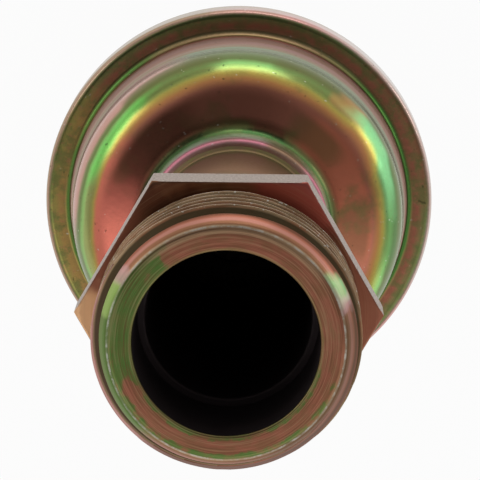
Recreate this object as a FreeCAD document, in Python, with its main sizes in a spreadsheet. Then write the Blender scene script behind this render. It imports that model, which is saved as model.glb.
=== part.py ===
import FreeCAD, Part
import math
import os

import Sketcher

# Air injection non-return valve, stood on its hose nipple.
# +Z runs along the axis from the hose nipple (inlet) to the pipe thread (outlet),
# the origin is on the axis at the nipple's lower end, and +Y is square to a hex flat.

os.makedirs("parts", exist_ok=True)
doc = FreeCAD.newDocument("air_injection_non_return_valve")
sheet = doc.addObject("Spreadsheet::Sheet", "Sizes")

# Driving dimensions in millimetres, radii where the name says radius.
drivingSizes = {
    # pressed sheet and the crimped joint
    "sheetWall": 1.2,
    "flangeRadius": 23.5,
    "flangeWidth": 3.0,
    "hemGap": 0.4,
    "hemEdgeRound": 0.9,
    "hemCornerRound": 0.3,
    "hemClearance": 0.08,
    "gasketThickness": 0.5,
    "gasketWidth": 2.7,
    # outlet shell
    "wallDraft": 1.3,
    "shoulderRise": 13.2,
    "shoulderRound": 5.8,
    "domeRise": 15.1,
    "collarRise": 19.2,
    "footRound": 0.8,
    "neckRound": 2.0,
    "lipRound": 0.5,
    "clampEdgeRound": 0.8,
    # inlet shell
    "inletWallDraft": 1.2,
    "inletDepth": 14.2,
    "inletShoulderRound": 3.6,
    "inletCollarLength": 4.0,
    "inletNeckRound": 1.1,
    # hose nipple
    "nippleRadius": 12.7,
    "nippleWall": 1.2,
    "nippleLength": 21.0,
    "nippleBeadHeight": 0.8,
    "nippleBeadStart": 3.0,
    "nippleBeadFlank": 1.1,
    "nippleBeadCrest": 0.9,
    "nippleBeadRound": 0.6,
    "nippleEndRound": 0.35,
    # outlet tube and the brazed joints
    "tubeRadius": 9.5,
    "tubeWall": 1.2,
    "tubeExposed": 40.0,
    "tubeEndRound": 0.3,
    "brazeClearance": 0.05,
    "brazeLeg": 1.1,
    "lipBrazeLeg": 0.5,
    # turned threaded fitting
    "hexAcross": 27.0,
    "hexThickness": 5.0,
    "hexChamferRadius": 15.15,
    "hexChamferDepth": 0.5,
    "noseLength": 13.6,
    "threadRadius": 13.2,
    "threadPitch": 1.8143,
    "threadDepth": 1.16,
    "threadCrest": 0.2,
    "threadRoot": 0.24,
    "threadStart": 0.92,
    "threadOverrun": 0.2,
    "reliefLength": 2.4,
    "reliefRadius": 11.9,
    "threadRunout": 0.6,
    "noseFaceRadius": 11.55,
    "noseBevelLength": 2.3,
    "noseBevelRound": 1.0,
    "tubeSeatDepth": 6.5,
    "boreRadius": 9.1,
    "boreEdge": 0.25,
    # seat plate
    "plateThickness": 1.0,
    "beadHeight": 0.8,
    "beadSlope": 0.8,
    "seatBeadRadius": 13.0,
    "seatBeadLand": 0.8,
    "hubBeadRadius": 4.9,
    "hubBeadLand": 0.3,
    "hubBeadSlope": 0.4,
    "portRadius": 2.5,
    "portCircle": 8.6,
    "portCount": 8,
    # stem, washer and rivet head
    "stemRadius": 1.5,
    "stemShankRadius": 1.25,
    "stemTail": 1.0,
    "stemWasherRadius": 3.4,
    "stemWasherThickness": 0.5,
    "rivetHeadRadius": 2.4,
    "rivetHeadHeight": 1.0,
    "rivetHeadRound": 0.6,
    "stemTipRound": 0.4,
    # moving valve
    "slideClearance": 0.05,
    "seatClearance": 0.05,
    "discRadius": 14.8,
    "discThickness": 1.6,
    "discEdgeRound": 0.4,
    "backingRadius": 11.6,
    "backingThickness": 0.8,
    "backingRimHeight": 1.0,
    "backingRimRound": 0.5,
    "bushRadius": 2.8,
    "bushFlangeRadius": 3.8,
    "bushFlangeThickness": 0.6,
    "bushLipThickness": 0.5,
    "bushEdgeRound": 0.15,
    "liftTravel": 3.0,
    # spring, its retainer and the clip
    "springWireRadius": 0.35,
    "springTurns": 4.25,
    "springHeight": 8.0,
    "springClearance": 0.03,
    "springSideGap": 0.1,
    "retainerThickness": 0.7,
    "retainerRimDepth": 0.9,
    "retainerRimWall": 0.7,
    "retainerHubRadius": 2.6,
    "retainerEdgeRound": 0.3,
    "clipThickness": 0.5,
    "clipClearance": 0.05,
    "clipRadius": 3.1,
    "clipGrooveRadius": 1.1,
    "clipMouthWidth": 1.9,
    "clipReliefRadius": 0.45,
    "clipReliefCircle": 1.55,
}


class Size:
    # A length that carries its number and the sheet expression that drives it.
    def __init__(self, value, text):
        self.value = value
        self.text = text

    def join(self, other, sign, value):
        text = other.text if isinstance(other, Size) else repr(other)
        return Size(value, "(" + self.text + " " + sign + " " + text + ")")

    def __add__(self, other):
        return self.join(other, "+", self.value + number(other))

    def __sub__(self, other):
        return self.join(other, "-", self.value - number(other))

    def __mul__(self, other):
        return self.join(other, "*", self.value * number(other))

    def __truediv__(self, other):
        return self.join(other, "/", self.value / number(other))


def number(size):
    return size.value if isinstance(size, Size) else size


def smaller(first, second):
    return Size(min(first.value, second.value), "min(" + first.text + "; " + second.text + ")")


def larger(first, second):
    return Size(max(first.value, second.value), "max(" + first.text + "; " + second.text + ")")


class Sizes:
    pass


size = Sizes()
for row, (alias, value) in enumerate(drivingSizes.items(), start=1):
    sheet.set("A%d" % row, alias)
    sheet.set("B%d" % row, str(value))
    sheet.setAlias("B%d" % row, alias)
    setattr(size, alias, Size(value, "Sizes." + alias))
doc.recompute()

zero = Size(0.0, "0")
fullTurn = 360.0
hexSides = 6
halfSide = math.pi / hexSides
sameEdge = 0.002
bodies = []


def bind(feature, prop, length):
    feature.setExpression(prop, length.text)


def newBody(label, height=zero):
    # One sub-part, drawn in its own frame and lifted to its height on the axis.
    body = doc.addObject("PartDesign::Body", label)
    body.Label = label
    bind(body, "Placement.Base.z", height)
    bodies.append(body)
    return body


def originPlane(body, role):
    return [item for item in body.Origin.OriginFeatures if item.Role == role][0]


def newSketch(body, name, role):
    sketch = body.newObject("Sketcher::SketchObject", name)
    sketch.AttachmentSupport = [(originPlane(body, role), "")]
    sketch.MapMode = "FlatFace"
    return sketch


def placePoint(sketch, line, end, across, up):
    # Ties one end of a line to the sketch's axes at a bound distance.
    for kind, length, axis in (("DistanceX", across, -2), ("DistanceY", up, -1)):
        if length.value == 0:
            sketch.addConstraint(Sketcher.Constraint("PointOnObject", line, end, axis))
        else:
            index = sketch.addConstraint(Sketcher.Constraint(kind, -1, 1, line, end, length.value))
            bind(sketch, "Constraints[%d]" % index, length)


def closedOutline(sketch, corners):
    places = [FreeCAD.Vector(across.value, up.value, 0) for across, up in corners]
    count = len(corners)
    for index in range(count):
        sketch.addGeometry(Part.LineSegment(places[index], places[(index + 1) % count]), False)
    for index in range(count):
        following = (index + 1) % count
        sketch.addConstraint(Sketcher.Constraint("Coincident", index, 2, following, 1))
    for index, (across, up) in enumerate(corners):
        placePoint(sketch, index, 1, across, up)


def centredCircle(sketch, across, up, radius):
    centre = FreeCAD.Vector(across.value, up.value, 0)
    circle = Part.Circle(centre, FreeCAD.Vector(0, 0, 1), radius.value)
    index = sketch.addGeometry(circle, False)
    placePoint(sketch, index, 3, across, up)
    rim = sketch.addConstraint(Sketcher.Constraint("Radius", index, radius.value))
    bind(sketch, "Constraints[%d]" % rim, radius)


def turned(body, name, corners, kind="PartDesign::Revolution"):
    # Turns an outline of (radius, height) corners about the axis.
    sketch = newSketch(body, name + "_outline", "XZ_Plane")
    closedOutline(sketch, corners)
    feature = body.newObject(kind, name)
    feature.Profile = sketch
    feature.ReferenceAxis = (sketch, ["V_Axis"])
    feature.Angle = fullTurn
    sketch.Visibility = False
    doc.recompute()
    return feature


def circleEdges(feature, corners):
    # Names of the feature's whole-circle edges about the axis that pass through the corners.
    names = []
    for across, up in corners:
        for index, edge in enumerate(feature.Shape.Edges, start=1):
            curve = edge.Curve
            if not isinstance(curve, Part.Circle) or not edge.Closed:
                continue
            if abs(curve.Radius - across.value) < sameEdge and abs(curve.Center.z - up.value) < sameEdge:
                names.append("Edge%d" % index)
    if len(names) != len(corners):
        raise RuntimeError("%s: %d edges for %d corners" % (feature.Name, len(names), len(corners)))
    return names


def rounded(body, name, radius, corners):
    base = body.Tip
    names = circleEdges(base, corners)
    feature = body.newObject("PartDesign::Fillet", name)
    feature.Base = (base, names)
    bind(feature, "Radius", radius)
    base.Visibility = False
    doc.recompute()
    return feature


# Heights on the axis, stacked up from the nipple's end.
inletFloor = size.nippleLength + size.inletCollarLength
inletFlange = inletFloor + size.inletDepth
hemFoot = inletFlange - size.sheetWall
lowerGasketFoot = inletFlange + size.sheetWall
plateFoot = lowerGasketFoot + size.gasketThickness
plateTop = plateFoot + size.plateThickness
outletFlange = plateTop + size.gasketThickness
flangeTop = outletFlange + size.sheetWall
hemHeight = flangeTop - hemFoot
collarTop = flangeTop + size.collarRise
hexBack = collarTop + size.tubeExposed
tubeFoot = flangeTop + size.domeRise - size.sheetWall
clampedRadius = size.flangeRadius - size.sheetWall - size.hemClearance
wallFoot = size.flangeRadius - size.flangeWidth
shoulder = wallFoot - size.wallDraft
inletShoulder = wallFoot - size.inletWallDraft

discFoot = plateTop + size.beadHeight + size.seatClearance
backingFoot = discFoot + size.discThickness
backingTop = backingFoot + size.backingThickness
bushFoot = discFoot - size.bushFlangeThickness
bushTop = backingTop + size.bushLipThickness
stopHeight = bushTop + size.liftTravel + size.slideClearance
retainerFlange = backingTop + size.springHeight
retainerTop = retainerFlange + size.retainerThickness
clipFoot = retainerTop + size.clipClearance
stemBore = size.stemRadius + size.slideClearance


# Threaded fitting: hexagon, relief groove, threaded nose and a bore with a seat for the tube.
fitting = newBody("threaded_fitting", hexBack)
hexagon = fitting.newObject("PartDesign::AdditivePrism", "hexagon")
hexagon.Polygon = hexSides
hexCorner = size.hexAcross / (2 * math.cos(halfSide))
bind(hexagon, "Circumradius", hexCorner)
bind(hexagon, "Height", size.hexThickness)
doc.recompute()
noseTop = size.hexThickness + size.noseLength
turned(fitting, "nose", [
    (zero, size.hexThickness),
    (size.reliefRadius, size.hexThickness),
    (size.reliefRadius, size.hexThickness + size.reliefLength - size.threadRunout),
    (size.threadRadius, size.hexThickness + size.reliefLength),
    (size.threadRadius, noseTop - size.noseBevelLength),
    (size.noseFaceRadius, noseTop),
    (zero, noseTop),
])
chamferReach = hexCorner + size.hexChamferDepth
chamferSlope = size.hexChamferDepth / (hexCorner + size.hexChamferDepth - size.hexChamferRadius)
turned(fitting, "front_corners", [
    (size.hexChamferRadius, size.hexThickness),
    (chamferReach, size.hexThickness),
    (chamferReach, size.hexThickness - size.hexChamferDepth),
], "PartDesign::Groove")
turned(fitting, "back_corners", [
    (size.hexChamferRadius, zero),
    (chamferReach, zero),
    (chamferReach, size.hexChamferDepth),
], "PartDesign::Groove")
tubeSeatRadius = size.tubeRadius + size.brazeClearance
turned(fitting, "bore", [
    (zero, zero),
    (tubeSeatRadius, zero),
    (tubeSeatRadius, size.tubeSeatDepth),
    (size.boreRadius, size.tubeSeatDepth),
    (size.boreRadius, noseTop),
    (zero, noseTop),
], "PartDesign::Groove")
rounded(fitting, "nose_rounding", size.noseBevelRound, [
    (size.threadRadius, noseTop - size.noseBevelLength),
    (size.noseFaceRadius, noseTop),
])
rounded(fitting, "bore_edge", size.boreEdge, [(size.boreRadius, noseTop)])

# Pipe thread: one groove wound up the nose from the relief and out through the bevel.
grooveSketch = newSketch(fitting, "groove_outline", "YZ_Plane")
grooveMiddle = size.hexThickness + size.threadStart
grooveHalf = (size.threadPitch - size.threadCrest) / 2
rootRadius = size.threadRadius - size.threadDepth
grooveReach = size.threadRadius + size.threadOverrun
closedOutline(grooveSketch, [
    (rootRadius, grooveMiddle - size.threadRoot / 2),
    (size.threadRadius, grooveMiddle - grooveHalf),
    (grooveReach, grooveMiddle - grooveHalf),
    (grooveReach, grooveMiddle + grooveHalf),
    (size.threadRadius, grooveMiddle + grooveHalf),
    (rootRadius, grooveMiddle + size.threadRoot / 2),
])
groove = fitting.newObject("PartDesign::SubtractiveHelix", "thread_groove")
groove.Profile = grooveSketch
groove.ReferenceAxis = (grooveSketch, ["V_Axis"])
groove.Mode = "height-turns-angle"
grooveRise = size.noseLength + size.threadOverrun - size.threadStart
bind(groove, "Height", grooveRise)
bind(groove, "Turns", grooveRise / size.threadPitch)
doc.recompute()

# Outlet tube: from the shell's neck into the seat of the fitting.
tube = newBody("outlet_tube", tubeFoot)
tubeLength = hexBack + size.tubeSeatDepth - tubeFoot
tubeBore = size.tubeRadius - size.tubeWall
turned(tube, "wall", [
    (tubeBore, zero),
    (size.tubeRadius, zero),
    (size.tubeRadius, tubeLength),
    (tubeBore, tubeLength),
])
rounded(tube, "end_rounding", size.tubeEndRound, [(tubeBore, zero), (tubeBore, tubeLength)])


def crownRoundings(body, shoulderReach, shoulderUp, neckReach, neckUp, shoulderRound, neckRound, inward=1):
    # Rounds a cup's shoulder and neck on both faces of the sheet. A rounding keeps to its share
    # of the crown between them, and inward is 1 where the cup's inside lies below its crown.
    wall = size.sheetWall * inward
    crown = shoulderReach - neckReach
    rounded(body, "shoulder_outside", smaller(shoulderRound, crown * shoulderShare), [
        (shoulderReach, shoulderUp),
    ])
    insideShoulder = larger(shoulderRound - size.sheetWall, size.hemCornerRound)
    rounded(body, "shoulder_inside", smaller(insideShoulder, crown * insideShoulderShare), [
        (shoulderReach - size.sheetWall, shoulderUp - wall),
    ])
    rounded(body, "neck_outside", smaller(neckRound, crown * neckShare), [(neckReach, neckUp)])
    rounded(body, "neck_inside", smaller(neckRound + size.sheetWall, crown * insideNeckShare), [
        (neckReach - size.sheetWall, neckUp - wall),
    ])


# Most of a crown's width that each rounding may take, outside and inside the cup.
shoulderShare = 0.69
neckShare = 0.25
insideShoulderShare = 0.55
insideNeckShare = 0.435

# Outlet shell: drawn cup with a raised neck, and a hem folded round the clamped stack.
outletShell = newBody("outlet_shell", hemFoot)
hemInside = size.flangeRadius - size.sheetWall
hemLip = wallFoot + size.hemGap
neckInside = tubeSeatRadius
neckOutside = tubeSeatRadius + size.sheetWall
shoulderHeight = hemHeight + size.shoulderRise
domeHeight = hemHeight + size.domeRise
neckTop = hemHeight + size.collarRise
flangeUnder = hemHeight - size.sheetWall
turned(outletShell, "shell", [
    (hemLip, zero),
    (size.flangeRadius, zero),
    (size.flangeRadius, hemHeight),
    (wallFoot, hemHeight),
    (shoulder, shoulderHeight),
    (neckOutside, domeHeight),
    (neckOutside, neckTop),
    (neckInside, neckTop),
    (neckInside, domeHeight - size.sheetWall),
    (shoulder - size.sheetWall, shoulderHeight - size.sheetWall),
    (wallFoot - size.sheetWall, flangeUnder),
    (hemInside, flangeUnder),
    (hemInside, size.sheetWall),
    (hemLip, size.sheetWall),
])
crownRoundings(outletShell, shoulder, shoulderHeight, neckOutside, domeHeight, size.shoulderRound, size.neckRound)
rounded(outletShell, "neck_lip", size.lipRound, [(neckOutside, neckTop)])
rounded(outletShell, "foot_outside", size.footRound, [(wallFoot, hemHeight)])
rounded(outletShell, "foot_inside", size.clampEdgeRound, [(wallFoot - size.sheetWall, flangeUnder)])
rounded(outletShell, "hem_edges", size.hemEdgeRound, [
    (size.flangeRadius, zero),
    (size.flangeRadius, hemHeight),
])
rounded(outletShell, "hem_corners", size.hemCornerRound, [
    (hemLip, zero),
    (hemLip, size.sheetWall),
])

# Inlet shell: a plain drawn cup whose flange is clamped in the hem.
inletShell = newBody("inlet_shell", size.nippleLength)
inletNeckInside = size.nippleRadius + size.brazeClearance
inletNeckOutside = inletNeckInside + size.sheetWall
inletRim = size.inletCollarLength + size.inletDepth
turned(inletShell, "shell", [
    (inletNeckInside, zero),
    (inletNeckOutside, zero),
    (inletNeckOutside, size.inletCollarLength),
    (inletShoulder, size.inletCollarLength),
    (wallFoot, inletRim),
    (clampedRadius, inletRim),
    (clampedRadius, inletRim + size.sheetWall),
    (wallFoot - size.sheetWall, inletRim + size.sheetWall),
    (inletShoulder - size.sheetWall, size.inletCollarLength + size.sheetWall),
    (inletNeckInside, size.inletCollarLength + size.sheetWall),
])
crownRoundings(inletShell, inletShoulder, size.inletCollarLength, inletNeckOutside, size.inletCollarLength,
               size.inletShoulderRound, size.inletNeckRound, -1)
rounded(inletShell, "neck_lip", size.lipRound, [(inletNeckOutside, zero)])
rounded(inletShell, "foot_outside", size.hemCornerRound, [(wallFoot, inletRim)])
rounded(inletShell, "foot_inside", size.clampEdgeRound, [
    (wallFoot - size.sheetWall, inletRim + size.sheetWall),
])

# Hose nipple: tube with a rolled bead near its open end.
nipple = newBody("hose_nipple")
nippleHeight = inletFloor + size.sheetWall
nippleBore = size.nippleRadius - size.nippleWall
beadOutside = size.nippleRadius + size.nippleBeadHeight
beadInside = beadOutside - size.nippleWall
beadLow = size.nippleBeadStart + size.nippleBeadFlank
beadHigh = beadLow + size.nippleBeadCrest
beadEnd = beadHigh + size.nippleBeadFlank
turned(nipple, "wall", [
    (nippleBore, zero),
    (size.nippleRadius, zero),
    (size.nippleRadius, size.nippleBeadStart),
    (beadOutside, beadLow),
    (beadOutside, beadHigh),
    (size.nippleRadius, beadEnd),
    (size.nippleRadius, nippleHeight),
    (nippleBore, nippleHeight),
    (nippleBore, beadEnd),
    (beadInside, beadHigh),
    (beadInside, beadLow),
    (nippleBore, size.nippleBeadStart),
])
rounded(nipple, "bead_rounding", size.nippleBeadRound, [
    (size.nippleRadius, size.nippleBeadStart),
    (beadOutside, beadLow),
    (beadOutside, beadHigh),
    (size.nippleRadius, beadEnd),
    (nippleBore, beadEnd),
    (beadInside, beadHigh),
    (beadInside, beadLow),
    (nippleBore, size.nippleBeadStart),
])
rounded(nipple, "end_rounding", size.nippleEndRound, [(nippleBore, zero), (size.nippleRadius, zero)])


def brazeRing(label, height, wall, leg, rising):
    # Fillet of filler metal against a tube, drawn hollow, that narrows upwards when rising.
    body = newBody(label, height)
    waist = leg * brazeHollow
    wide = zero if rising else leg
    narrow = leg if rising else zero
    middle = waist if rising else leg - waist
    turned(body, "fillet", [
        (wall, wide),
        (wall + leg, wide),
        (wall + waist, middle),
        (wall, narrow),
    ])


# Share of its leg to which a braze fillet is drawn in at its middle.
brazeHollow = 0.33
brazeRing("fitting_braze", hexBack - size.brazeLeg, size.tubeRadius, size.brazeLeg, False)
brazeRing("outlet_braze", collarTop, size.tubeRadius, size.lipBrazeLeg, True)
brazeRing("inlet_braze", size.nippleLength - size.brazeLeg, size.nippleRadius, size.brazeLeg, False)


def beadProfile(height, bead, middle, land, slope):
    # Corners of a pressed ring bead, from its inner foot to its outer foot.
    half = land / 2
    return [
        (middle - half - slope, height),
        (middle - half, height + bead),
        (middle + half, height + bead),
        (middle + half + slope, height),
    ]


# Seat plate: two pressed ring beads, a riveted centre and a ring of ports.
seatPlate = newBody("seat_plate", plateFoot)
plateHole = size.stemShankRadius + size.slideClearance


def plateFace(height):
    hub = beadProfile(height, size.beadHeight, size.hubBeadRadius, size.hubBeadLand, size.hubBeadSlope)
    seat = beadProfile(height, size.beadHeight, size.seatBeadRadius, size.seatBeadLand, size.beadSlope)
    return [(plateHole, height)] + hub + seat + [(clampedRadius, height)]


turned(seatPlate, "plate", plateFace(zero) + plateFace(size.plateThickness)[::-1])
portSketch = newSketch(seatPlate, "port_outline", "XY_Plane")
centredCircle(portSketch, size.portCircle, zero, size.portRadius)
port = seatPlate.newObject("PartDesign::Pocket", "port")
port.Profile = portSketch
port.Type = "ThroughAll"
port.Midplane = True
doc.recompute()
ports = seatPlate.newObject("PartDesign::PolarPattern", "ports")
ports.Originals = [port]
ports.Axis = (portSketch, ["N_Axis"])
ports.Angle = fullTurn
bind(ports, "Occurrences", size.portCount)
seatPlate.Tip = ports
doc.recompute()


def plainRing(label, height, inner, outer, thickness):
    body = newBody(label, height)
    turned(body, "ring", [(inner, zero), (outer, zero), (outer, thickness), (inner, thickness)])
    return body


# Gaskets clamped on both sides of the seat plate.
gasketInner = clampedRadius - size.gasketWidth
plainRing("lower_gasket", lowerGasketFoot, gasketInner, clampedRadius, size.gasketThickness)
plainRing("upper_gasket", plateTop, gasketInner, clampedRadius, size.gasketThickness)

# Washer under the plate, and the stem riveted through both.
plainRing("stem_washer", plateFoot - size.stemWasherThickness, plateHole, size.stemWasherRadius,
          size.stemWasherThickness)
stemFoot = plateFoot - size.stemWasherThickness - size.rivetHeadHeight
stem = newBody("guide_stem", stemFoot)
shankEnd = size.rivetHeadHeight + size.stemWasherThickness + size.plateThickness
grooveFoot = retainerTop - stemFoot
grooveTop = grooveFoot + size.clipThickness + size.clipClearance * 2
stemTop = grooveTop + size.stemTail
turned(stem, "pin", [
    (zero, zero),
    (size.rivetHeadRadius, zero),
    (size.rivetHeadRadius, size.rivetHeadHeight),
    (size.stemShankRadius, size.rivetHeadHeight),
    (size.stemShankRadius, shankEnd),
    (size.stemRadius, shankEnd),
    (size.stemRadius, grooveFoot),
    (size.clipGrooveRadius, grooveFoot),
    (size.clipGrooveRadius, grooveTop),
    (size.stemRadius, grooveTop),
    (size.stemRadius, stemTop),
    (zero, stemTop),
])
rounded(stem, "head_rounding", size.rivetHeadRound, [(size.rivetHeadRadius, zero)])
rounded(stem, "tip_rounding", size.stemTipRound, [(size.stemRadius, stemTop)])

# Moving valve: rubber disc, its pressed backing and the bush that slides on the stem.
discHole = size.bushRadius + size.slideClearance
valveDisc = plainRing("valve_disc", discFoot, discHole, size.discRadius, size.discThickness)
rounded(valveDisc, "rim_rounding", size.discEdgeRound, [
    (size.discRadius, zero),
    (size.discRadius, size.discThickness),
])
backing = newBody("disc_backing", backingFoot)
backingInside = size.backingRadius - size.backingThickness
backingRim = size.backingThickness + size.backingRimHeight
turned(backing, "cup", [
    (discHole, zero),
    (size.backingRadius, zero),
    (size.backingRadius, backingRim),
    (backingInside, backingRim),
    (backingInside, size.backingThickness),
    (discHole, size.backingThickness),
])
rounded(backing, "rim_rounding", size.backingRimRound, [
    (size.backingRadius, zero),
    (backingInside, size.backingThickness),
])
bush = newBody("disc_bush", bushFoot)
bushWaistTop = size.bushFlangeThickness + size.discThickness + size.backingThickness
bushHeight = bushWaistTop + size.bushLipThickness
turned(bush, "spool", [
    (stemBore, zero),
    (size.bushFlangeRadius, zero),
    (size.bushFlangeRadius, size.bushFlangeThickness),
    (size.bushRadius, size.bushFlangeThickness),
    (size.bushRadius, bushWaistTop),
    (size.bushFlangeRadius, bushWaistTop),
    (size.bushFlangeRadius, bushHeight),
    (stemBore, bushHeight),
])
rounded(bush, "edge_rounding", size.bushEdgeRound, [
    (size.bushFlangeRadius, zero),
    (size.bushFlangeRadius, bushHeight),
])

# Return spring: a coil of round wire between the backing and the retainer, clear of the bush's lip.
spring = newBody("return_spring", backingTop)
wireSketch = newSketch(spring, "wire", "XZ_Plane")
wireEnd = size.springWireRadius + size.springClearance
coilRadius = size.bushFlangeRadius + size.springSideGap + size.springWireRadius
centredCircle(wireSketch, coilRadius, wireEnd, size.springWireRadius)
coil = spring.newObject("PartDesign::AdditiveHelix", "coil")
coil.Profile = wireSketch
coil.ReferenceAxis = (wireSketch, ["V_Axis"])
coil.Mode = "height-turns-angle"
bind(coil, "Height", size.springHeight - wireEnd * 2)
bind(coil, "Turns", size.springTurns)
doc.recompute()

# Spring retainer: flanged collar whose hub stops the valve's lift.
retainer = newBody("spring_retainer", stopHeight)
hubHeight = retainerFlange - stopHeight
rimInside = coilRadius + size.springWireRadius + size.springSideGap
rimOutside = rimInside + size.retainerRimWall
rimFoot = hubHeight - size.retainerRimDepth
retainerHeight = hubHeight + size.retainerThickness
turned(retainer, "collar", [
    (stemBore, zero),
    (size.retainerHubRadius, zero),
    (size.retainerHubRadius, hubHeight),
    (rimInside, hubHeight),
    (rimInside, rimFoot),
    (rimOutside, rimFoot),
    (rimOutside, retainerHeight),
    (stemBore, retainerHeight),
])
rounded(retainer, "edge_rounding", size.retainerEdgeRound, [(rimOutside, retainerHeight)])

# Retaining clip: open ring in the stem's groove, with a mouth and two relief notches.
clip = newBody("retaining_clip", clipFoot)
clipHole = size.clipGrooveRadius + size.clipClearance
turned(clip, "ring", [
    (clipHole, zero),
    (size.clipRadius, zero),
    (size.clipRadius, size.clipThickness),
    (clipHole, size.clipThickness),
])
mouthSketch = newSketch(clip, "mouth_outline", "XY_Plane")
closedOutline(mouthSketch, [
    (zero, size.clipMouthWidth / -2),
    (size.clipRadius * 2, size.clipMouthWidth / -2),
    (size.clipRadius * 2, size.clipMouthWidth / 2),
    (zero, size.clipMouthWidth / 2),
])
mouth = clip.newObject("PartDesign::Pocket", "mouth")
mouth.Profile = mouthSketch
mouth.Type = "ThroughAll"
mouth.Midplane = True
doc.recompute()
reliefSketch = newSketch(clip, "relief_outline", "XY_Plane")
reliefAngle = math.radians(120)
reliefAcross = size.clipReliefCircle * math.cos(reliefAngle)
reliefUp = size.clipReliefCircle * math.sin(reliefAngle)
centredCircle(reliefSketch, reliefAcross, reliefUp, size.clipReliefRadius)
relief = clip.newObject("PartDesign::Pocket", "relief")
relief.Profile = reliefSketch
relief.Type = "ThroughAll"
relief.Midplane = True
doc.recompute()
reliefs = clip.newObject("PartDesign::Mirrored", "reliefs")
reliefs.Originals = [relief]
reliefs.MirrorPlane = (originPlane(clip, "XZ_Plane"), [""])
clip.Tip = reliefs
doc.recompute()

# Every feature must have built, and every sub-part must be one sound solid, before it is written.
for item in doc.Objects:
    if "Invalid" in item.State or "Error" in item.State:
        raise RuntimeError("%s did not build: %s" % (item.Name, item.State))
for body in bodies:
    shape = body.Shape
    if shape.isNull() or not shape.isValid() or len(shape.Solids) != 1:
        raise RuntimeError("%s is not one valid solid" % body.Label)
for body in bodies:
    body.Shape.exportStep("parts/%s.step" % body.Label)
    print("%-18s %9.2f mm3" % (body.Label, body.Shape.Volume))
print("%d sub-parts" % len(bodies))
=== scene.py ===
import math

import bmesh
import bpy
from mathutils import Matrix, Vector, noise


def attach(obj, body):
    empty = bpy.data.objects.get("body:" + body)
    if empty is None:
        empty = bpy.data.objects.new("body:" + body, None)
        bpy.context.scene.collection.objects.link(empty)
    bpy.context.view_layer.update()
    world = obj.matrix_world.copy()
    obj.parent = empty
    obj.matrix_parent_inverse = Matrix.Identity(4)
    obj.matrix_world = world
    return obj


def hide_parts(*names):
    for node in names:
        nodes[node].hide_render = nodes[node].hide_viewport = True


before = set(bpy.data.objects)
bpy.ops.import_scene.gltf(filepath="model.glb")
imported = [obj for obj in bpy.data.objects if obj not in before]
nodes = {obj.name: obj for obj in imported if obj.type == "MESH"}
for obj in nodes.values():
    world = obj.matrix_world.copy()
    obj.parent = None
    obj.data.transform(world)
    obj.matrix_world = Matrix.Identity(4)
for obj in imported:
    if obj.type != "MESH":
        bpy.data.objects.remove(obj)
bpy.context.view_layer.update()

mm = 0.001
around = 192  # steps of a full turn
flangeMiddle = 40.8  # height of the flange, in millimetres


def say(text):
    print("scene: " + text)


class Term:
    # a shader socket that can stand in a sum

    def __init__(self, finish, socket):
        self.finish = finish
        self.socket = socket

    def sum(self, operation, first, second=0.0):
        return self.finish.add("ShaderNodeMath", {"operation": operation}, {0: first, 1: second})

    def __add__(self, other):
        return self.sum("ADD", self, other)

    __radd__ = __add__

    def __sub__(self, other):
        return self.sum("SUBTRACT", self, other)

    def __rsub__(self, other):
        return self.sum("SUBTRACT", other, self)

    def __mul__(self, other):
        return self.sum("MULTIPLY", self, other)

    __rmul__ = __mul__

    def __truediv__(self, other):
        return self.sum("DIVIDE", self, other)

    def __pow__(self, other):
        return self.sum("POWER", self, other)


def linear(colour):
    # a colour as it is seen on screen, 0 to 255, in the shader's own scale
    shares = [part / 255 for part in colour]
    return tuple(s / 12.92 if s <= 0.04045 else ((s + 0.055) / 1.055) ** 2.4 for s in shares) + (1.0,)


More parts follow.
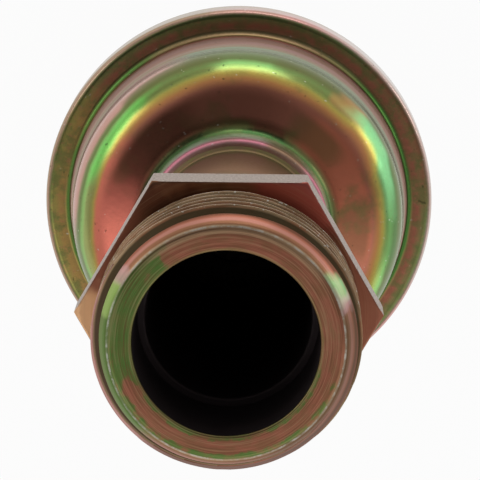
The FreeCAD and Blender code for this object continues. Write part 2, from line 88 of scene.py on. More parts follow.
class Finish:
    # one material: its node tree, the place on the piece in millimetres, and the masks made from them

    def __init__(self, name, **constants):
        self.material = bpy.data.materials.new(name)
        self.material.use_nodes = True
        self.tree = self.material.node_tree
        self.shader = self.tree.nodes["Principled BSDF"]
        for socket, value in constants.items():
            self.shader.inputs[socket.replace("_", " ")].default_value = value
        self.place = self.add("ShaderNodeTexCoord", {}, {}, "Object")
        parts = self.add("ShaderNodeSeparateXYZ", {}, {"Vector": self.place})
        outputs = parts.socket.node.outputs
        self.x = Term(self, outputs["X"]) * 1000
        self.y = Term(self, outputs["Y"]) * 1000
        self.z = Term(self, outputs["Z"]) * 1000
        self.radius = (self.x * self.x + self.y * self.y + 0.0001) ** 0.5
        self.aside, self.ahead = self.x / self.radius, self.y / self.radius

    def add(self, kind, settings, inputs, output=0):
        node = self.tree.nodes.new(kind)
        for setting, value in settings.items():
            if setting == "stops":  # the places and colours on a ramp
                ramp = node.color_ramp
                while len(ramp.elements) < len(value):
                    ramp.elements.new(0.5)
                for element, (position, colour) in zip(ramp.elements, value):
                    element.position = position
                    element.color = colour
            else:
                setattr(node, setting, value)
        for socket, value in inputs.items():
            if isinstance(value, Term):
                self.tree.links.new(value.socket, node.inputs[socket])
            else:
                node.inputs[socket].default_value = value
        return Term(self, node.outputs[output])

    def feed(self, **sockets):
        for socket, value in sockets.items():
            self.tree.links.new(value.socket, self.shader.inputs[socket.replace("_", " ")])
        return self

    def bands(self, value, stops):
        # colours along a length in millimetres
        low, high = stops[0][0], stops[-1][0]
        share = (value - low) / (high - low)
        placed = [((at - low) / (high - low), linear(film[colour])) for at, colour in stops]
        return self.add("ShaderNodeValToRGB", {"stops": placed}, {"Fac": share}, "Color")

    def mix(self, share, first, second, how="MIX"):
        settings = {"data_type": "RGBA", "blend_type": how, "clamp_factor": True}
        first = first if isinstance(first, Term) else linear(first)
        second = second if isinstance(second, Term) else linear(second)
        return self.add("ShaderNodeMix", settings, {"Factor": share, 6: first, 7: second}, 2)

    def rise(self, value, low, high):
        # 0 below low, 1 above high, smooth between
        settings = {"interpolation_type": "SMOOTHSTEP"}
        inputs = {"Value": value, "From Min": low, "From Max": high, "To Min": 0.0, "To Max": 1.0}
        return self.add("ShaderNodeMapRange", settings, inputs, 0)

    def window(self, value, low, high, soft):
        return self.rise(value, low - soft, low + soft) * (1 - self.rise(value, high - soft, high + soft))

    def wander(self, degrees, scale):
        # lets the edges of the sides stray by up to so many degrees
        offset = self.vector(self.x + 40, self.y + 40, self.z)
        shift = math.radians(degrees) * 4
        self.aside = self.aside + (self.noise(scale, 2.0) - 0.5) * shift
        self.ahead = self.ahead + (self.noise(scale, 2.0, vector=offset) - 0.5) * shift

    def toward(self, degrees, half, soft):
        # 1 on the side of the axis at an angle from +X towards +Y
        turn = math.radians(degrees)
        along = self.aside * math.cos(turn) + self.ahead * math.sin(turn)
        along = along / (self.aside * self.aside + self.ahead * self.ahead) ** 0.5
        return self.rise(along, math.cos(math.radians(half + soft)), math.cos(math.radians(half)))

    def vector(self, x, y, z):
        return self.add("ShaderNodeCombineXYZ", {}, {"X": x, "Y": y, "Z": z})

    def noise(self, scale, detail=3.0, roughness=0.55, vector=None, distortion=0.0):
        # scale is in waves for each millimetre
        place = vector if vector else self.vector(self.x, self.y, self.z)
        inputs = {"Vector": place, "Scale": scale, "Detail": detail, "Roughness": roughness, "Distortion": distortion}
        return self.add("ShaderNodeTexNoise", {}, inputs, 0)

    def spots(self, scale, detail, low, high, roughness=0.55):
        # 1 where the noise lies above high, 0 where it lies below low
        return self.rise(self.noise(scale, detail, roughness), low, high)

    def turningMarks(self, pitch, runs=1.5, detail=2.0):
        # fine rings as a lathe leaves them, broken up round the turn
        x, y = self.x / self.radius * runs, self.y / self.radius * runs
        return self.noise(1.0, detail, 0.6, self.vector(x, y, (self.radius + self.z) / pitch))

    def bump(self, height, strength, depth):
        normal = self.add("ShaderNodeBump", {}, {"Height": height, "Strength": strength, "Distance": depth}, 0)
        return self.feed(Normal=normal)


def drawOutline(mesh, corners, closed=True):
    # corners are (radius, height, rounding) in millimetres
    points = [mesh.verts.new((radius * mm, 0, height * mm)) for radius, height, _ in corners]
    count = len(points)
    for index in range(count if closed else count - 1):
        mesh.edges.new((points[index], points[(index + 1) % count]))
    for point, (_, _, rounding) in zip(points, corners):
        if rounding and len(point.link_edges) == 2:
            sides = [edge.other_vert(point).co - point.co for edge in point.link_edges]
            turn = math.pi - sides[0].angle(sides[1])
            bmesh.ops.bevel(mesh, geom=[point], offset=rounding * mm * math.tan(turn / 2), offset_type="OFFSET",
                            segments=max(2, math.ceil(math.degrees(turn) / 7)), profile=0.5,
                            affect="VERTICES", material=-1)


def spinWhole(mesh, steps=around):
    outline = list(mesh.verts) + list(mesh.edges)
    bmesh.ops.spin(mesh, geom=outline, cent=(0, 0, 0), axis=(0, 0, 1), dvec=(0, 0, 0), angle=math.tau,
                   steps=steps, use_merge=True, use_duplicate=False)
    bmesh.ops.remove_doubles(mesh, verts=mesh.verts, dist=1e-7)


def finishPiece(mesh, name, body, replaced, slot, materials, choose=None, sharp=32):
    # writes the mesh as one piece in the place of its CAD node
    bmesh.ops.recalc_face_normals(mesh, faces=mesh.faces)
    for edge in mesh.edges:
        if len(edge.link_faces) == 2 and edge.calc_face_angle(0.0) > math.radians(sharp):
            edge.smooth = False
    for face in mesh.faces:
        face.smooth = True
        if choose:
            face.material_index = choose(face)
    data = bpy.data.meshes.new(name)
    mesh.to_mesh(data)
    mesh.free()
    for finish in materials:
        data.materials.append(finish.material)
    piece = bpy.data.objects.new(name, data)
    bpy.context.scene.collection.objects.link(piece)
    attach(piece, body)
    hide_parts(replaced)
    return piece


def turnedPiece(corners, *words, **more):
    mesh = bmesh.new()
    drawOutline(mesh, corners)
    spinWhole(mesh)
    return finishPiece(mesh, *words, **more)


def radiusOf(point):
    return math.hypot(point.x, point.y) / mm


fitting = {
    "back": 102.8,
    "front": 107.8,
    "halfAcross": 13.5,
    "chamferFrom": 15.15,
    "chamferSlope": 0.533,
    "hexEdge": [  # radius and drop from the hexagon's face, out to its flat
        (12.3, 0.0), (12.9, 0.0), (13.0, 0.0), (13.1, 0.0), (13.2, 0.0), (13.3, 0.0), (13.38, 0.0),
        (13.46, 0.03), (13.5, 0.12), (13.5, 0.5),
    ],
    "roundWithin": 12.4,  # circles of the hexagon's faces stay round up to here
    "roundFade": 0.5,
    "pitch": 1.8143,
    "crestRadius": 13.2,
    "rootRadius": 12.04,
    "crestAtTop": 118.7,  # height of a crest on the +Y side
    "crestFlat": 0.1,
    "rootFlat": 0.12,
    "flankSteps": 12,
    "turnsBelow": 6,
    "turns": 8,
    "threadFoot": 109.6,
    "threadHead": 120.75,
    "reliefRadius": 11.9,
    "reliefEnd": 110.2,
    "noseEnd": 121.4,
    "noseRadius": 11.55,
    "bevelFoot": 119.1,
    "boreRadius": 9.1,
    "tubeSeatRadius": 9.55,
    "tubeSeatEnd": 109.3,
    "lowerRim": (11.9, 109.5),  # where the turned outline meets the cut thread
    "upperRim": (11.98, 120.8),
    "nickDepth": 0.1,
    "nickBand": 0.25,  # how far below the crest the nicks reach
    "nickGrain": 900,  # waves of the nicks for each metre
}

film = {  # colours of the yellow zinc film, as seen on screen; some also serve as painted highlights and glints, and the bore colours are painted shade
    "char": (46, 52, 30),
    "umber": (118, 76, 58),
    "brown": (152, 106, 78),
    "copper": (172, 108, 86),
    "crimson": (200, 106, 94),
    "ember": (228, 132, 100),
    "redBrown": (192, 122, 100),
    "rust": (204, 144, 90),
    "salmon": (238, 130, 112),
    "blush": (188, 130, 114),
    "peach": (250, 196, 146),
    "tan": (184, 144, 112),
    "sand": (206, 172, 134),
    "gold": (200, 180, 92),
    "lime": (178, 206, 116),
    "brightGreen": (152, 208, 122),
    "mint": (154, 234, 164),
    "spring": (116, 212, 96),
    "green": (88, 134, 78),
    "leaf": (82, 130, 62),
    "drab": (150, 126, 96),
    "khaki": (160, 142, 112),
    "moss": (108, 124, 72),
    "olive": (146, 136, 88),
    "darkOlive": (102, 106, 60),
    "groove": (80, 68, 48),
    "greyGreen": (172, 186, 160),
    "paleGreen": (196, 224, 188),
    "mauve": (204, 168, 160),
    "rose": (202, 150, 140),
    "paleRose": (204, 154, 146),
    "pink": (222, 182, 186),
    "magenta": (212, 132, 150),
    "silver": (230, 226, 216),
    "steel": (204, 198, 190),
    "dullZinc": (142, 126, 116),
    "paleZinc": (194, 180, 170),
    "boreShade": (66, 58, 60),
    "boreLighterShade": (84, 74, 74),
}
shellBands = [  # from the rim over the wall and the dome to the top of the neck
    (14.0, "olive"), (18.6, "paleRose"), (20.1, "paleRose"), (20.6, "moss"), (21.2, "olive"), (21.8, "copper"),
    (22.4, "brown"), (22.8, "leaf"), (23.5, "leaf"), (24.2, "magenta"), (24.8, "mauve"), (28.2, "mauve"),
    (30.6, "greyGreen"), (31.8, "greyGreen"), (33.2, "moss"), (35.7, "moss"), (36.8, "brightGreen"),
    (37.8, "lime"), (38.8, "gold"), (40.0, "rust"), (41.4, "redBrown"), (45.2, "redBrown"), (46.4, "umber"),
    # painted highlight: the pale green at 49.1 and the silver at 50.1 make a pale band round the foot of the neck
    (47.3, "char"), (48.3, "green"), (49.1, "paleGreen"), (50.1, "silver"), (51.0, "pink"), (52.0, "magenta"),
    (52.7, "mauve"),
]
shellPatches = [  # (degrees round, half width, softness), between these bands, colour, share
    ((150, 26, 22), (30.2, 34.8), "rose", 0.85),
    # painted shade: the two dark olive patches darken the shoulder between the lamps' highlights
    ((58, 9, 13), (33.6, 38.2), "darkOlive", 0.8),
    ((116, 8, 12), (33.6, 38.2), "darkOlive", 0.8),
    ((46, 3, 8), (34.4, 38.4), "rust", 0.55),
    ((6, 14, 12), (34.6, 38.2), "green", 0.7),
    ((26, 4, 22), (35.2, 37.8), "mint", 0.75),
    ((143, 14, 12), (36.4, 38.1), "spring", 0.7),
    ((184, 12, 14), (36.6, 38.8), "olive", 0.7),
    ((184, 26, 22), (39.4, 46.4), "salmon", 0.85),
    ((137, 15, 16), (42.2, 46.6), "umber", 0.7),
    # painted shade: near-black on the flare of the neck at the upper left, where a lamp's reflection would fall
    ((140, 25, 18), (46.8, 48.2), "char", 0.9),
    ((18, 26, 18), (41.6, 46.8), "ember", 0.75),
    ((18, 26, 18), (46.8, 47.8), "olive", 0.5),
    ((355, 8, 12), (42.0, 46.6), "brown", 0.75),
    ((47, 6, 12), (42.6, 46.0), "darkOlive", 0.5),
    ((57, 7, 11), (48.6, 52.6), "olive", 0.75),
    ((188, 30, 26), (20.6, 22.6), "gold", 0.5),
    ((86, 22, 20), (22.5, 23.8), "tan", 0.8),
    ((24, 16, 14), (20.3, 21.4), "copper", 0.8),
    ((158, 56, 26), (14.0, 20.2), "khaki", 0.9),
    ((15, 34, 24), (14.0, 20.2), "steel", 0.75),
]
shellZones = {  # low, high and softness of the stretches between these bands
    "seam": (20.4, 22.6, 0.4),
    "drawn": (23.6, 31.0, 1.2),
    "wall": (30.5, 41.0, 1.5),
    "collar": (48.6, 52.6, 0.5),
}


def shellFilm(name, mirrored):
    finish = Finish(name, Metallic=1.0)
    finish.wander(7, 0.14)
    rise = flangeMiddle * 2 - finish.z if mirrored else finish.z
    along = rise - finish.radius
    wall = finish.window(along, *shellZones["wall"])
    drawn = finish.window(along, *shellZones["drawn"])
    wobble = (finish.noise(0.09, 2.0) - 0.5) * (wall * 1.4 + 0.5) + (finish.noise(0.7, 4.0) - 0.5) * 0.35
    outward = finish.toward(150, 22, 28) * 0.9 + finish.toward(3, 14, 14) * 0.9 - finish.toward(31, 7, 9) * 0.5
    shifted = along + wobble - wall * outward
    colour = finish.bands(shifted, shellBands)
    for place, (low, high), tint, share in shellPatches:
        mask = finish.toward(*place) * finish.window(shifted, low, high, 0.7)
        colour = finish.mix(mask * share, colour, film[tint])
    drawingMarks = finish.noise(1.0, 3.0, 0.6, finish.vector(0.0, finish.x * 0.02, along * 0.8))
    colour = finish.mix(drawn * finish.rise(drawingMarks, 0.42, 0.6) * 0.5, colour, film["tan"])
    fine = finish.noise(2.4, 4.0, 0.6)
    blotch = finish.spots(0.2, 4.0, 0.5, 0.68, 0.6) * (0.2 + finish.toward(25, 60, 30) * 0.35)
    colour = finish.mix(blotch * finish.rise(along, 34.0, 44.0), colour, film["moss"])
    colour = finish.mix(finish.rise(fine, 0.5, 0.85) * 0.2, colour, film["brown"])
    seam = finish.window(along, *shellZones["seam"])
    colour = finish.mix(finish.spots(0.45, 4.0, 0.44, 0.62, 0.65) * seam * 0.6, colour, film["moss"])
    colour = finish.mix(finish.spots(1.1, 5.0, 0.5, 0.68, 0.7) * seam * 0.4, colour, film["redBrown"])
    colour = finish.mix(finish.spots(1.5, 2.0, 0.7, 0.74) * 0.5, colour, film["char"])
    colour = finish.mix(finish.spots(1.9, 2.0, 0.71, 0.75) * 0.5, colour, film["silver"])
    collar = finish.window(along, *shellZones["collar"])
    finish.feed(Base_Color=colour, Roughness=0.2 + fine * 0.08 + drawn * 0.24 + collar * 0.26)
    return finish.bump(finish.noise(0.9, 3.0), 0.05, 0.0002)


tubeBands = [  # by height
    (0.0, "olive"), (9.0, "sand"), (18.0, "olive"), (62.0, "moss"), (66.0, "drab"), (76.0, "tan"), (88.0, "olive"),
    (98.0, "tan"), (110.0, "brown"),
]


def tubeFilm():
    finish = Finish("platedTubeFilm", Metallic=1.0)
    wobble = (finish.noise(0.12, 3.0) - 0.5) * 6
    colour = finish.bands(finish.z + wobble, tubeBands)
    fine = finish.noise(2.5, 5.0, 0.6)
    colour = finish.mix(finish.rise(fine, 0.45, 0.8) * 0.35, colour, film["brown"])
    finish.feed(Base_Color=colour, Roughness=0.26 + fine * 0.16)
    return finish.bump(finish.noise(1.4, 4.0), 0.06, 0.0002)


hexPatches = [  # (degrees round, half width, softness), colour, share
    ((160, 14, 16), "copper", 0.7),
    ((62, 14, 14), "crimson", 0.9),
    ((180, 6, 8), "peach", 0.9),
    ((5, 20, 18), "copper", 0.8),
]


def hexFaceFilm():
    finish = Finish("hexFaceFilm", Metallic=1.0)
    finish.wander(6, 0.25)
    marks = finish.turningMarks(0.16)
    colour = finish.mix(finish.spots(0.2, 3.0, 0.4, 0.62), film["umber"], film["brown"])
    for place, tint, share in hexPatches:
        colour = finish.mix(finish.toward(*place) * share, colour, film[tint])
    colour = finish.mix(finish.rise(marks, 0.5, 0.8) * 0.25, colour, film["sand"])
    finish.feed(Base_Color=colour, Roughness=0.28 + marks * 0.14)
    return finish.bump(marks, 0.15, 0.00008)


def hexFlatZinc():
    finish = Finish("hexFlatZinc", Metallic=1.0)
    grain = finish.noise(4.0, 5.0, 0.75)
    colour = finish.mix(finish.rise(grain, 0.35, 0.65), film["dullZinc"], film["paleZinc"])
    finish.feed(Base_Color=colour, Roughness=0.42 + grain * 0.2)
    return finish.bump(grain, 0.4, 0.0001)


def threadFilm():
    finish = Finish("threadFilm", Metallic=1.0)
    finish.wander(6, 0.3)
    fine = finish.noise(3.0, 4.0, 0.65)
    colour = finish.mix(finish.spots(0.3, 3.0, 0.38, 0.62), film["brown"], film["drab"])
    colour = finish.mix(finish.toward(192, 20, 16) * 0.75, colour, film["rose"])
    crestRadius = fitting["crestRadius"]
    # painted highlight: the crests are painted paler sand, and burr specks add to it
    crest = finish.rise(finish.radius, crestRadius - 0.17, crestRadius - 0.05)
    burr = finish.spots(1.5, 4.0, 0.58, 0.66, 0.7)
    colour = finish.mix(crest * (0.45 + burr * 0.5), colour, film["sand"])
    colour = finish.mix(finish.rise(finish.turningMarks(0.2), 0.52, 0.4) * 0.4, colour, film["groove"])
    # painted shade: the roots of the thread are painted dark in the groove colour
    root = finish.rise(finish.radius, crestRadius - 0.17, crestRadius - 0.34)
    colour = finish.mix(root * 0.9, colour, film["groove"])
    fleck = finish.spots(2.2, 3.0, 0.64, 0.68) * crest
    colour = finish.mix(fleck * 0.9, colour, film["silver"])
    slope = (crestRadius - fitting["noseRadius"]) / (fitting["noseEnd"] - fitting["bevelFoot"])
    unrolled = finish.radius + (finish.z - fitting["bevelFoot"]) * slope
    brow = finish.rise(unrolled, crestRadius - 0.2, crestRadius - 0.06)
    colour = finish.mix(brow * 0.5, colour, film["sand"])
    finish.feed(Base_Color=colour, Roughness=0.3 + fine * 0.2)
    return finish.bump(fine, 0.2, 0.0001)


noseBands = [  # along the bevel up to the end face
    (105.9, "umber"), (107.6, "umber"), (108.0, "copper"), (108.3, "blush"), (108.65, "blush"), (108.95, "brown"),
    (109.4, "brown"), (109.65, "sand"),
]
nosePatches = [  # (degrees round, half width, softness), colour, share
    ((190, 30, 20), "leaf", 0.8),
    # painted glints: the four narrow patches below are small painted highlights on the upper bevel
    ((158, 2, 6), "lime", 0.5),
    ((148, 2, 6), "pink", 0.4),
    ((28, 2, 6), "mint", 0.5),
    ((22, 2, 4), "pink", 0.5),
    ((335, 34, 22), "groove", 0.5),
]
noseZones = {
    "upper": (107.0, 107.6),  # these three go by height less radius
    "edge": (109.6, 109.88, 0.07),
    "face": (109.75, 109.95),
    "mouth": (9.5, 9.25),  # and these by radius
    "middle": (9.7, 10.8, 0.3),
    "outer": (10.7, 10.9),
}


def noseFilm():
    finish = Finish("noseFilm", Metallic=1.0)
    finish.wander(6, 0.3)
    marks = finish.turningMarks(0.12)
    along = finish.z - finish.radius
    wobble = (finish.noise(0.3, 3.0) - 0.5) * 0.3
    bevel = finish.bands(along + wobble, noseBands)
    upper = finish.rise(along, *noseZones["upper"])
    bevel = finish.mix(finish.toward(190, 36, 20) * (1 - upper) * 0.8, bevel, film["rose"])
    bevel = finish.mix(finish.rise(marks, 0.52, 0.34) * 0.3, bevel, film["umber"])
    for place, tint, share in nosePatches:
        bevel = finish.mix(finish.toward(*place) * upper * share, bevel, film[tint])
    streaks = finish.turningMarks(0.7, 5.0, 5.0)
    face = finish.mix(finish.rise(streaks, 0.35, 0.65), film["brown"], film["copper"])
    edges = 1 - finish.window(finish.radius, *noseZones["middle"])
    green = finish.toward(164, 34, 12) + finish.toward(275, 62, 14) * (edges * 0.6 + 0.12)
    mottle = finish.noise(0.7, 5.0, 0.65)
    patchy = finish.rise(streaks * 0.6 + mottle * 0.5 + green * 0.42, 0.72, 0.9)
    face = finish.mix(patchy * (0.6 + mottle * 0.5), face, film["leaf"])
    face = finish.mix(finish.rise(finish.radius, *noseZones["mouth"]) * 0.6, face, film["olive"])
    outer = finish.rise(finish.radius, *noseZones["outer"])
    face = finish.mix(outer * finish.toward(82, 40, 20) * 0.6, face, film["sand"])
    face = finish.mix(finish.rise(marks, 0.48, 0.7) * 0.3, face, film["sand"])
    face = finish.mix(finish.rise(marks, 0.52, 0.34) * 0.55, face, film["umber"])
    onFace = finish.rise(along, *noseZones["face"])
    colour = finish.mix(onFace, bevel, face)
    wear = finish.spots(1.2, 4.0, 0.4, 0.65, 0.7) * 0.55 + 0.08
    colour = finish.mix(finish.window(along, *noseZones["edge"]) * wear, colour, film["silver"])
    finish.feed(Base_Color=colour, Roughness=0.3 + marks * 0.16)
    return finish.bump(marks, 0.2, 0.00005)


# painted shade: the bores, the tube's end and the hidden inner faces are painted dark as if in shadow
def borePaintedShade():
    finish = Finish("borePaintedShade", Metallic=1.0)
    haze = finish.noise(0.8, 3.0)
    colour = finish.mix(haze, film["boreShade"], film["boreLighterShade"])
    finish.feed(Base_Color=colour, Roughness=0.55 + haze * 0.2)
    return finish


def brazeFilm():
    finish = Finish("brazeFilm", Metallic=1.0)
    fine = finish.noise(0.9, 3.0)
    colour = finish.mix(finish.rise(fine, 0.35, 0.7), film["drab"], film["olive"])
    finish.feed(Base_Color=colour, Roughness=0.34 + fine * 0.12)
    return finish.bump(fine, 0.1, 0.0001)


shellFinish = shellFilm("platedShellFilm", False)
inletFinish = shellFilm("platedInletFilm", True)
tubeFinish = tubeFilm()
hexFaceFinish = hexFaceFilm()
hexFlatFinish = hexFlatZinc()
threadFinish = threadFilm()
noseFinish = noseFilm()
boreFinish = borePaintedShade()
brazeFinish = brazeFilm()
say("plated finishes made")

outletShell = {
    "corners": [
        (20.9, 38.0, 0.3), (23.5, 38.0, 0.9), (23.5, 43.6, 0.9), (20.5, 43.6, 0.8), (19.2, 56.8, 5.8),
        (10.75, 58.7, 2.0), (10.75, 62.8, 0.5), (9.55, 62.8, 0), (9.55, 57.5, 3.2), (18.0, 55.6, 4.6),
        (19.3, 42.4, 0.8), (22.3, 42.4, 0), (22.3, 39.2, 0), (20.9, 39.2, 0.3),
    ],
    "insideFrom": 42.5,
    "insideTo": 62.7,
    "insideRadius": 19.4,
}


def outletInside(face):
    # 1 on the inner faces that the gas touches, which wear the dark bore finish as painted shade
    middle = face.calc_center_median()
    radius, height = radiusOf(middle), middle.z / mm
    inward = face.normal.z < 0 or face.normal.x * middle.x + face.normal.y * middle.y < 0
    within = outletShell["insideFrom"] < height < outletShell["insideTo"]
    return int(inward and within and radius < outletShell["insideRadius"])


turnedPiece(outletShell["corners"], "outlet_shell_drawn", "housing", "outlet_shell", "plated_shell",
            [shellFinish, boreFinish], choose=outletInside)
say("outlet shell drawn")

inletShell = {
    "corners": [
        (12.75, 21.0, 0), (13.95, 21.0, 0.5), (13.95, 25.0, 1.1), (19.3, 25.0, 3.6), (20.5, 39.2, 0.3),
        (22.22, 39.2, 0), (22.22, 40.4, 0), (19.3, 40.4, 0.8), (18.1, 26.2, 2.4), (12.75, 26.2, 0),
    ],
}
turnedPiece(inletShell["corners"], "inlet_shell_drawn", "housing", "inlet_shell", "plated_shell", [inletFinish])

outletTube = {
    "corners": [(8.3, 57.5, 0.3), (9.5, 57.5, 0), (9.5, 109.3, 0), (8.3, 109.3, 0.3)],
    "endFrom": 108.0,
}
hoseNipple = {
    "corners": [
        (11.5, 0.0, 0.35), (12.7, 0.0, 0.35), (12.7, 3.0, 0.6), (13.5, 4.1, 0.6), (13.5, 5.0, 0.6), (12.7, 6.1, 0.6),
        (12.7, 26.2, 0), (11.5, 26.2, 0), (11.5, 6.1, 0.6), (12.3, 5.0, 0.6), (12.3, 4.1, 0.6), (11.5, 3.0, 0.6),
    ],
}


def tubeInside(face):
    # 1 on the bore and, in the fitting, on the tube's end; these wear the dark bore finish as painted shade
    middle = face.calc_center_median()
    inward = face.normal.x * middle.x + face.normal.y * middle.y < 0
    return int(inward or middle.z / mm > outletTube["endFrom"])


turnedPiece(outletTube["corners"], "outlet_tube_drawn", "housing", "outlet_tube", "plated_tube",
            [tubeFinish, boreFinish], choose=tubeInside)
turnedPiece(hoseNipple["corners"], "hose_nipple_beaded", "housing", "hose_nipple", "plated_tube",
            [tubeFinish, boreFinish], choose=tubeInside)
say("tube and nipple drawn")

brazeRings = {
    "fitting_braze": [(9.5, 101.7), (9.87, 102.43), (10.6, 102.8), (9.5, 102.8)],
    "outlet_braze": [(9.5, 62.8), (10.0, 62.8), (9.67, 62.97), (9.5, 63.3)],
    "inlet_braze": [(12.7, 19.9), (13.07, 20.63), (13.8, 21.0), (12.7, 21.0)],
}
for label, corners in brazeRings.items():
    turnedPiece([(radius, height, 0) for radius, height in corners], label + "_run", "housing", label,
                "braze_metal", [brazeFinish])
say("braze fillets run")


def hexReach(angle):
    # distance from the axis to the hexagon's outline
    sixth = math.pi / 3
    return fitting["halfAcross"] / math.cos((angle % sixth) - sixth / 2)


def shapeHexagon(mesh):
    for vert in mesh.verts:
        radius, height = radiusOf(vert.co), vert.co.z / mm
        if radius < fitting["roundWithin"] or height > fitting["front"] + 0.01:
            continue
        share = min(1.0, (radius - fitting["roundWithin"]) / fitting["roundFade"])
        target = radius * (1 + (hexReach(math.atan2(vert.co.y, vert.co.x)) / fitting["halfAcross"] - 1) * share)
        vert.co.x *= target / radius
        vert.co.y *= target / radius
        drop = max(0.0, (target - fitting["chamferFrom"]) * fitting["chamferSlope"])
        vert.co.z = min(max(height, fitting["back"] + drop), fitting["front"] - drop) * mm


def bevelRadius(height):
    share = (height - fitting["bevelFoot"]) / (fitting["noseEnd"] - fitting["bevelFoot"])
    return fitting["crestRadius"] + (fitting["noseRadius"] - fitting["crestRadius"]) * max(0.0, share)


def cutThread():
    mesh = bmesh.new()
    pitch, crest, root = fitting["pitch"], fitting["crestRadius"], fitting["rootRadius"]
    foot = fitting["crestAtTop"] - pitch * (fitting["turnsBelow"] + 0.25)  # the spin starts on +X, a quarter before +Y
    half = pitch / 2
    flank = [(0.0, crest), (fitting["crestFlat"], crest)]
    for step in range(1, fitting["flankSteps"]):
        share = step / fitting["flankSteps"]
        flank.append((fitting["crestFlat"] + (half - fitting["crestFlat"] - fitting["rootFlat"]) * share,
                      crest + (root - crest) * share))
    flank += [(half - fitting["rootFlat"], root), (half, root)]
    chain = flank + [(pitch - rise, radius) for rise, radius in flank[-2::-1]]
    points = [mesh.verts.new((radius * mm, 0, (foot + rise) * mm)) for rise, radius in chain]
    edges = [mesh.edges.new(pair) for pair in zip(points, points[1:])]
    bmesh.ops.spin(mesh, geom=points + edges, cent=(0, 0, 0), axis=(0, 0, 1), dvec=(0, 0, pitch * mm / around),
                   angle=math.tau, steps=around, use_merge=False, use_duplicate=False)
    oneTurn = list(mesh.verts) + list(mesh.edges) + list(mesh.faces)
    for turn in range(1, fitting["turns"]):  # the same turn again, one pitch higher each time
        copied = bmesh.ops.duplicate(mesh, geom=oneTurn)["geom"]
        risen = [part for part in copied if isinstance(part, bmesh.types.BMVert)]
        bmesh.ops.translate(mesh, verts=risen, vec=(0, 0, pitch * mm * turn))
    bmesh.ops.remove_doubles(mesh, verts=mesh.verts, dist=1e-6)
    for height, side in ((fitting["threadFoot"], -1), (fitting["threadHead"], 1)):
        bmesh.ops.bisect_plane(mesh, geom=list(mesh.verts) + list(mesh.edges) + list(mesh.faces), dist=1e-7,
                               plane_co=(0, 0, height * mm), plane_no=(0, 0, side), clear_outer=True)
    for vert in mesh.verts:
        radius, height = radiusOf(vert.co), vert.co.z / mm
        rise = (height - fitting["threadFoot"]) / (fitting["reliefEnd"] - fitting["threadFoot"])
        most = min(fitting["reliefRadius"] + (crest - fitting["reliefRadius"]) * rise, bevelRadius(height))
        if radius > crest - fitting["nickBand"]:  # burrs and small nicks on the crests
            rough = noise.noise(vert.co * fitting["nickGrain"])
            radius -= fitting["nickDepth"] * max(0.0, rough - 0.1)
        kept = min(radius, most)
        scale = kept / radiusOf(vert.co)
        vert.co.x *= scale
        vert.co.y *= scale
    return mesh


def rimEdges(mesh, height):
    return [edge for edge in mesh.edges if edge.is_boundary and
            all(abs(vert.co.z / mm - height) < 0.02 for vert in edge.verts)]


back, front, hexEdge = fitting["back"], fitting["front"], fitting["hexEdge"]
fittingCorners = [(*fitting["lowerRim"], 0), (fitting["reliefRadius"], front, 0.25)]
fittingCorners += [(radius, front - drop, 0) for radius, drop in hexEdge]
fittingCorners += [(fitting["halfAcross"], (back + front) / 2, 0)]
fittingCorners += [(radius, back + drop, 0) for radius, drop in reversed(hexEdge)]
fittingCorners += [
    (fitting["tubeSeatRadius"], back, 0), (fitting["tubeSeatRadius"], fitting["tubeSeatEnd"], 0),
    (fitting["boreRadius"], fitting["tubeSeatEnd"], 0), (fitting["boreRadius"], fitting["noseEnd"], 0.25),
    (fitting["noseRadius"], fitting["noseEnd"], 1.0), (*fitting["upperRim"], 0),
]
mesh = cutThread()
lathe = bmesh.new()
drawOutline(lathe, fittingCorners, closed=False)
spinWhole(lathe)
shapeHexagon(lathe)
spare = bpy.data.meshes.new("spare")
lathe.to_mesh(spare)
lathe.free()
mesh.from_mesh(spare)
bpy.data.meshes.remove(spare)
for threadEnd, (_, rim) in (("threadFoot", fitting["lowerRim"]), ("threadHead", fitting["upperRim"])):
    bmesh.ops.bridge_loops(mesh, edges=rimEdges(mesh, fitting[threadEnd]) + rimEdges(mesh, rim))


def fittingPart(face):
    # 0 hexagon faces, 1 hexagon flats, 2 thread, 3 nose, 4 bore
    middle = face.calc_center_median()
    radius, height = radiusOf(middle), middle.z / mm
    if radius < fitting["boreRadius"] + 0.2 and height < fitting["noseEnd"] - 0.3:
        return 4
    if height < fitting["front"] + 0.05:
        return 1 if abs(face.normal.z) < 0.6 and radius > fitting["roundWithin"] + 0.1 else 0
    if height < fitting["bevelFoot"]:
        return 2
    inGroove = fitting["reliefRadius"] < radius < bevelRadius(height) - 0.05
    return 2 if inGroove and height < fitting["threadHead"] else 3


finishPiece(mesh, "threaded_fitting_cut", "housing", "threaded_fitting", "plated_fitting",
            [hexFaceFinish, hexFlatFinish, threadFinish, noseFinish, boreFinish], choose=fittingPart)
say("fitting cut and threaded")


def innerFinish(name, dark, pale, roughness, grain, metallic):
    finish = Finish(name, Metallic=metallic)
    fine = finish.noise(grain, 4.0, 0.6)
    colour = finish.mix(finish.rise(fine, 0.35, 0.68), dark, pale)
    finish.feed(Base_Color=colour, Roughness=roughness + fine * 0.2)
    return finish.bump(fine, 0.2, 0.0001)


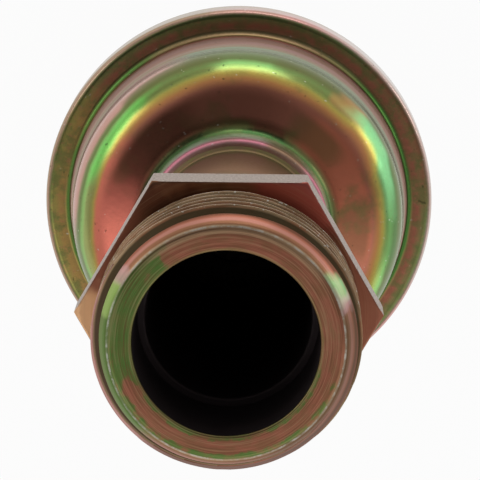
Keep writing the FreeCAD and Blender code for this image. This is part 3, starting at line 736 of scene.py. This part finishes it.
innerLooks = {  # dark and pale colour, roughness, grain, metallic, and the pieces that wear it
    "innerSteel": ((64, 58, 54), (96, 88, 80), 0.35, 2.0, 1.0,
                   ["seat_plate", "stem_washer", "guide_stem", "disc_backing", "spring_retainer"]),
    "springSteel": ((58, 56, 56), (92, 88, 84), 0.3, 3.0, 1.0, ["return_spring", "retaining_clip"]),
    "gasketFibre": ((52, 50, 48), (74, 70, 66), 0.75, 1.2, 0.0, ["lower_gasket", "upper_gasket"]),
    "siliconeRubber": ((120, 44, 30), (140, 56, 40), 0.55, 1.5, 0.0, ["valve_disc"]),
    "bushBronze": ((132, 96, 54), (160, 118, 70), 0.35, 2.5, 1.0, ["disc_bush"]),
}
for name, (dark, pale, roughness, grain, metallic, labels) in innerLooks.items():
    finish = innerFinish(name, dark, pale, roughness, grain, metallic)
    for label in labels:
        for holder in nodes[label].material_slots:
            holder.material = finish.material
say("inside pieces finished")

studio = {
    "floorSize": 6.0,
    "floorWhite": 0.86,
    "paperGlow": 0.95,
    # brightness by height: 0 at the horizon, 1 overhead; how far the low light reaches up on each side
    "low": 0.55,
    "frontFade": (0.30, 0.75),
    "leftFade": (0.55, 0.92),
    # brightness overhead by the direction's Y, from the camera's side (-1) to the far side (1)
    "overhead": [
        (0.0, 0.9), (0.34, 0.75), (0.405, 0.46), (0.45, 0.18), (0.50, 0.10), (0.60, 0.07), (0.8, 0.12), (1.0, 0.3),
    ],
    # where the right, the left and the near side of the sky begin, and how much light they add
    "rightFrom": (0.1, 0.35),
    "leftFrom": (0.15, 0.45),
    "nearFrom": (0.02, 0.22),
    "rightLift": 0.14,
    "leftLift": 0.5,
    "aim": (0, 0, 0.055),
}
lamps = {  # name: direction from the part (degrees round, degrees up), distance, width, height, power
    "upperLeftLamp": ((150, 17), 0.6, 0.26, 0.13, 0.17),
    "topLamp": ((84, 0), 0.6, 0.36, 0.11, 0.20),
    "rightLamp": ((22, 0), 0.6, 0.20, 0.12, 0.13),
}
camera = {  # metres, degrees, millimetres
    "place": (0.005032, 0.063262, 0.399825),
    "turn": (-10.7812, 0.8683, 0.4774),
    "lens": 222.94,
}

floorMesh = bmesh.new()
bmesh.ops.create_grid(floorMesh, x_segments=1, y_segments=1, size=studio["floorSize"] / 2)
floorData = bpy.data.meshes.new("floor")
floorMesh.to_mesh(floorData)
floorMesh.free()
floor = bpy.data.objects.new("floor", floorData)
bpy.context.scene.collection.objects.link(floor)
paper = Finish("paperWhite", Roughness=0.9)
paper.shader.inputs["Base Color"].default_value = (studio["floorWhite"],) * 3 + (1.0,)
seen = paper.add("ShaderNodeLightPath", {}, {}, "Is Camera Ray")
mirrored = Term(paper, seen.socket.node.outputs["Is Glossy Ray"])
glow = paper.add("ShaderNodeEmission", {}, {"Color": (1, 1, 1, 1), "Strength": 1.0})
share = paper.add("ShaderNodeMath", {"operation": "MAXIMUM"}, {0: seen, 1: mirrored}) * studio["paperGlow"]
plain = Term(paper, paper.shader.outputs[0])
both = paper.add("ShaderNodeMixShader", {}, {0: share, 1: plain, 2: glow})
paper.tree.links.new(both.socket, paper.tree.nodes["Material Output"].inputs["Surface"])
floorData.materials.append(paper.material)

world = bpy.data.worlds.new("studio")
world.use_nodes = True
bpy.context.scene.world = world
tree = world.node_tree


class Sky(Finish):
    # the world's own tree, with the same node calls

    def __init__(self, tree):
        self.tree = tree


sky = Sky(tree)
way = sky.add("ShaderNodeTexCoord", {}, {}, "Generated")
parts = sky.add("ShaderNodeSeparateXYZ", {}, {"Vector": way})
aside, ahead, up = [Term(sky, parts.socket.node.outputs[axis]) for axis in "XYZ"]
overhead = sky.add("ShaderNodeValToRGB", {"stops": [
    (share, (level,) * 3 + (1.0,)) for share, level in studio["overhead"]
]}, {"Fac": ahead * 0.5 + 0.5}, "Color")
leftward = sky.rise(0.0 - aside, *studio["leftFrom"])
lift = sky.rise(aside, *studio["rightFrom"]) * studio["rightLift"]
lift = lift + leftward * sky.rise(0.0 - ahead, *studio["nearFrom"]) * studio["leftLift"]
level = sky.add("ShaderNodeSeparateColor", {}, {"Color": overhead}, "Red") + lift
frontLow, frontHigh = studio["frontFade"]
leftLow, leftHigh = studio["leftFade"]
raised = sky.rise(up, frontLow, frontHigh) * (1 - leftward) + sky.rise(up, leftLow, leftHigh) * leftward
level = level * raised + (1 - raised) * studio["low"]
shade = sky.add("ShaderNodeCombineColor", {}, {"Red": level, "Green": level, "Blue": level}, "Color")
background = tree.nodes["Background"]
rays = sky.add("ShaderNodeLightPath", {}, {}, "Is Camera Ray")
tree.links.new(sky.mix(rays, shade, (255, 255, 255)).socket, background.inputs["Color"])

aim = Vector(studio["aim"])
for label, ((degreesRound, degreesUp), distance, width, height, power) in lamps.items():
    data = bpy.data.lights.new(label, "AREA")
    data.shape = "RECTANGLE"
    data.size, data.size_y, data.energy = width, height, power
    lamp = bpy.data.objects.new(label, data)
    bpy.context.scene.collection.objects.link(lamp)
    turn, lift = math.radians(degreesRound), math.radians(degreesUp)
    away = Vector((math.cos(turn) * math.cos(lift), math.sin(turn) * math.cos(lift), math.sin(lift)))
    lamp.location = aim + away * distance
    lamp.rotation_euler = away.to_track_quat("Z", "Y").to_euler()

cameraData = bpy.data.cameras.new("camera")
cameraData.lens, cameraData.sensor_width = camera["lens"], 36.0
cameraData.clip_start, cameraData.clip_end = 0.01, 20.0
cameraObject = bpy.data.objects.new("camera", cameraData)
cameraObject.location = camera["place"]
cameraObject.rotation_euler = [math.radians(part) for part in camera["turn"]]
bpy.context.scene.collection.objects.link(cameraObject)
bpy.context.scene.camera = cameraObject
bpy.context.scene.view_settings.view_transform = "Standard"
say("studio ready")
